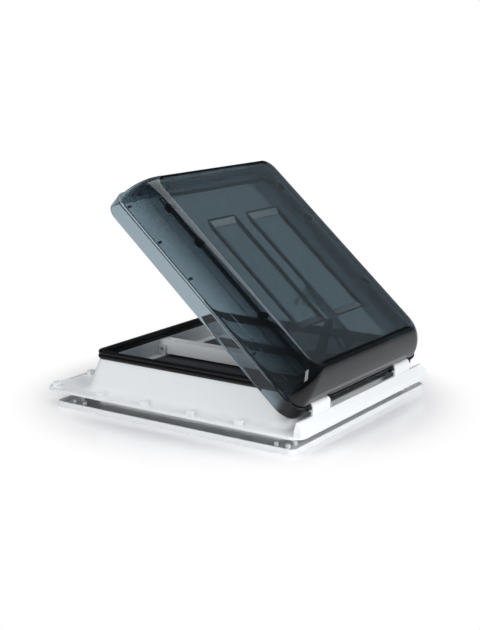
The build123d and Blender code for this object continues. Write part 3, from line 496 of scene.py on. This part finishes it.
def make_net():
    """The fly screen as one thin sheet with a window at the gear housing.  Its points are the crossings of
    the break lines on both faces.  Gone are the window's cell and the cells back to the first column."""
    xs = (-NET_HALF, WINDOW_X, NET_HALF)
    ys = (-NET_HALF, *WINDOW_Y, NET_HALF)
    z, y, x = np.meshgrid((NET_TOP, NET_TOP - NET_THICK), ys, xs, indexing="ij")
    gone = np.zeros((len(ys) - 1, len(xs)), bool)
    gone[1, 1] = True
    gone[:, -1] = True
    faces, _ = shell_faces(gone)
    return build("fly_screen_sheet", np.stack([x, y, z], -1).reshape(-1, 3), faces, MESH_CLOTH)


dome = make_dome()
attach(dome, "lid")
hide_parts("outer_dome")

net = make_net()
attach(net, "frame")
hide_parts("fly_screen")


# Stage, in metres

FLOOR_REACH = 9.0
FLOOR_BELOW = 0.0002
FADE_START, FADE_END = 0.26, 0.44
WHITE_LIGHT = (1, 1, 1, 1)


def seen_directly(owner):
    """1 for rays that show the backdrop itself, straight or through the acrylic, and 0 for all others."""
    path = add(owner, "ShaderNodeLightPath").outputs
    return add(owner, "ShaderNodeMath", {0: path["Is Camera Ray"], 1: path["Is Transmission Ray"]},
               operation="MAXIMUM").outputs[0]


def make_floor():
    """A satin floor that fades to white away from the object, for rays that show it directly."""
    mesh = bpy.data.meshes.new("floor")
    z = FLOOR_Z - FLOOR_BELOW
    corners = [(-1, -1), (1, -1), (1, 1), (-1, 1)]
    mesh.from_pydata([(x * FLOOR_REACH, y * FLOOR_REACH, z) for x, y in corners], [], [(0, 1, 2, 3)])
    obj = bpy.data.objects.new("floor", mesh)
    bpy.context.scene.collection.objects.link(obj)
    material = empty_material("pale studio floor")
    body = add(material, "ShaderNodeBsdfPrincipled", Base_Color=linear("E2E2E5"), Roughness=0.18, IOR=1.4)
    glow = add(material, "ShaderNodeEmission", Color=WHITE_LIGHT, Strength=0.06)
    none = add(material, "ShaderNodeEmission", Color=(0, 0, 0, 1), Strength=0.0)
    seen = seen_directly(material)
    lit = add(material, "ShaderNodeMixShader", {0: seen, 1: none.outputs[0], 2: glow.outputs[0]})
    near = add(material, "ShaderNodeAddShader", {0: body.outputs[0], 1: lit.outputs[0]})
    place = add(material, "ShaderNodeTexCoord").outputs["Object"]
    away = add(material, "ShaderNodeVectorMath", {0: place}, operation="LENGTH").outputs["Value"]
    far = add(material, "ShaderNodeMapRange", {0: away, 1: FADE_START, 2: FADE_END},
              interpolation_type="SMOOTHSTEP").outputs[0]
    fade = add(material, "ShaderNodeMath", {0: far, 1: seen}, operation="MULTIPLY").outputs[0]
    white = add(material, "ShaderNodeEmission", Color=WHITE_LIGHT, Strength=1.0)
    whole = add(material, "ShaderNodeMixShader", {0: fade, 1: near.outputs[0], 2: white.outputs[0]})
    add(material, "ShaderNodeOutputMaterial", Surface=whole.outputs[0])
    mesh.materials.append(material)
    return obj


def make_world():
    """A white backdrop for rays that show it directly, and a weak cool fill for the rest."""
    world = bpy.data.worlds.new("studio")
    bpy.context.scene.world = world
    world.use_nodes = True
    world.node_tree.nodes.clear()
    fill = add(world, "ShaderNodeBackground", Color=(0.93, 0.96, 1, 1), Strength=0.07)
    white = add(world, "ShaderNodeBackground", Color=WHITE_LIGHT, Strength=1.0)
    seen = seen_directly(world)
    mix = add(world, "ShaderNodeMixShader", {0: seen, 1: fill.outputs[0], 2: white.outputs[0]})
    add(world, "ShaderNodeOutputWorld", Surface=mix.outputs[0])


# Name, place, aim, width and height, watts, and whether the acrylic and gloss show it
LAMPS = (
    ("key softbox", (-1.3, -1.6, 2.2), (0, 0, 0.05), (1.5, 1.5), 36, False),
    ("top softbox", (0.3, 0.5, 2.6), (0, 0, 0.1), (2.2, 2.2), 34, True),
    ("side window", (1.9, -0.9, 1.0), (0.1, 0, 0.15), (0.5, 0.9), 9, True),
    ("side fill", (1.7, -0.2, 0.95), (0.24, 0, -0.02), (0.9, 0.9), 14, False),
    ("low front strip", (0.3, -1.7, 0.32), (0, -0.2, -0.01), (1.6, 0.3), 8, False),
    ("low side strip", (1.7, 0.1, 0.34), (0.2, 0, -0.01), (1.6, 0.3), 5, False),
)


def make_lamp(name, place, aim, size, watts, shows):
    """A lit rectangle that faces its aim."""
    light = bpy.data.lights.new(name, "AREA")
    light.shape = "RECTANGLE"
    light.size, light.size_y = size
    light.energy = watts
    obj = bpy.data.objects.new(name, light)
    bpy.context.scene.collection.objects.link(obj)
    obj.location = place
    obj.rotation_mode = "QUATERNION"
    obj.rotation_quaternion = (Vector(place) - Vector(aim)).to_track_quat("Z", "Y")
    obj.visible_glossy = shows
    obj.visible_transmission = shows


EYE = Vector((1225.6, -1941.8, 639.4)) * MM
AZIMUTH, ELEVATION, ROLL = (math.radians(angle) for angle in (32.58, 12.58, 0.75))
FOCAL_PIXELS = 1298.8
PHOTO_HEIGHT_PIXELS = 630
SENSOR = 36


def make_camera():
    """The photo's view.  Azimuth goes from -Y towards +X, and the roll turns the picture about its middle."""
    back = Vector((math.sin(AZIMUTH) * math.cos(ELEVATION), -math.cos(AZIMUTH) * math.cos(ELEVATION),
                   math.sin(ELEVATION)))
    level = Vector((math.cos(AZIMUTH), math.sin(AZIMUTH), 0))
    upright = back.cross(level)
    right = level * math.cos(ROLL) + upright * math.sin(ROLL)
    up = upright * math.cos(ROLL) - level * math.sin(ROLL)
    data = bpy.data.cameras.new("camera")
    data.lens = FOCAL_PIXELS / PHOTO_HEIGHT_PIXELS * SENSOR
    data.sensor_width = SENSOR
    obj = bpy.data.objects.new("camera", data)
    bpy.context.scene.collection.objects.link(obj)
    obj.matrix_world = Matrix.Translation(EYE) @ Matrix((right, up, back)).transposed().to_4x4()
    bpy.context.scene.camera = obj


make_floor()
make_world()
for lamp in LAMPS:
    make_lamp(*lamp)
make_camera()
bpy.context.scene.view_settings.view_transform = "Standard"
